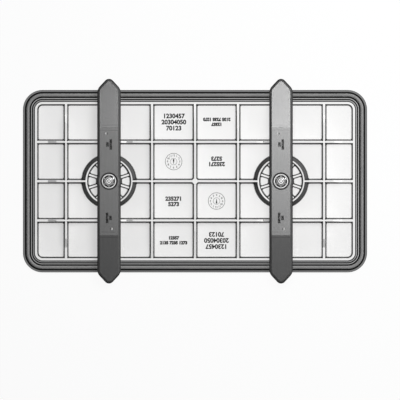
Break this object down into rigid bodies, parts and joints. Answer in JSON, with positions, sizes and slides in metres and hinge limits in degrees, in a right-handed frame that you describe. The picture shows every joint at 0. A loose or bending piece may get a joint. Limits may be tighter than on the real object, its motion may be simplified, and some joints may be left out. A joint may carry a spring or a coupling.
{
  "type": "deck hatch",
  "caption": "Removable rectangular deck hatch lid with a ribbed underside, edge gasket and swinging clamp bars drawn up by recessed finger knobs.",
  "frame": {"origin": "middle of the lid's flat outer face, with the lid lying face down", "axes": "+X along the lid's length, +Y across it along the clamp bars, +Z from the deck face into the boat, towards the ribs and the bars"},
  "size_m": [0.6, 0.357, 0.0507],
  "materials": {
    "lid_plastic": "glossy white moulded plastic with a fine non-skid outer face",
    "gasket_rubber": "satin dark grey solid rubber",
    "bar_plastic": "satin grey glass-filled plastic",
    "knob_plastic": "satin grey plastic with a fine grain",
    "cap_plastic": "white plastic",
    "bearing_plastic": "natural low-friction plastic",
    "nylon": "blue nylon locking ring",
    "stainless": "machined stainless steel",
    "insert_brass": "turned brass",
    "seal_rubber": "black rubber"
  },
  "bodies": {
    "lid_body": {"lid": "lid_plastic", "gasket": "gasket_rubber", "left_hub_bush": "bearing_plastic", "left_hub_seal": "seal_rubber", "left_guide_plate": "stainless", "left_guide_screws": "stainless", "right_hub_bush": "bearing_plastic", "right_hub_seal": "seal_rubber", "right_guide_plate": "stainless", "right_guide_screws": "stainless"},
    "left_knob_body": {"left_finger_knob": "knob_plastic", "left_knob_cap": "cap_plastic", "left_knob_insert": "insert_brass", "left_knob_washer": "bearing_plastic", "left_knob_clip": "stainless"},
    "left_stud_body": {"left_stud": "stainless", "left_lock_nut": "stainless", "left_lock_nut_insert": "nylon", "left_flat_washer": "stainless"},
    "left_bar_body": {"left_clamp_bar": "bar_plastic", "left_bar_bush": "bearing_plastic"},
    "right_knob_body": {"right_finger_knob": "knob_plastic", "right_knob_cap": "cap_plastic", "right_knob_insert": "insert_brass", "right_knob_washer": "bearing_plastic", "right_knob_clip": "stainless"},
    "right_stud_body": {"right_stud": "stainless", "right_lock_nut": "stainless", "right_lock_nut_insert": "nylon", "right_flat_washer": "stainless"},
    "right_bar_body": {"right_clamp_bar": "bar_plastic", "right_bar_bush": "bearing_plastic"}
  },
  "joints": [
    {"name": "left_stud_draw", "type": "slide", "parent": "lid_body", "child": "left_stud_body", "axis": [0, 0, 1], "range_m": [0, 0.009]},
    {"name": "left_knob_turn", "type": "hinge", "parent": "lid_body", "child": "left_knob_body", "pos_m": [-0.15, 0, 0.0145], "axis": [0, 0, 1], "range_deg": [-2160, 0]},
    {"name": "left_bar_swing", "type": "hinge", "parent": "left_stud_body", "child": "left_bar_body", "pos_m": [-0.15, 0, 0.033], "axis": [0, 0, 1], "range_deg": [-45, 45]},
    {"name": "right_stud_draw", "type": "slide", "parent": "lid_body", "child": "right_stud_body", "axis": [0, 0, 1], "range_m": [0, 0.009]},
    {"name": "right_knob_turn", "type": "hinge", "parent": "lid_body", "child": "right_knob_body", "pos_m": [0.15, 0, 0.0145], "axis": [0, 0, 1], "range_deg": [-2160, 0]},
    {"name": "right_bar_swing", "type": "hinge", "parent": "right_stud_body", "child": "right_bar_body", "pos_m": [0.15, 0, 0.033], "axis": [0, 0, 1], "range_deg": [-45, 45]}
  ],
  "couplings": [
    {"joint": "left_knob_turn", "follows": "left_stud_draw", "rad_per_m": -4188.8},
    {"joint": "right_knob_turn", "follows": "right_stud_draw", "rad_per_m": -4188.8}
  ]
}
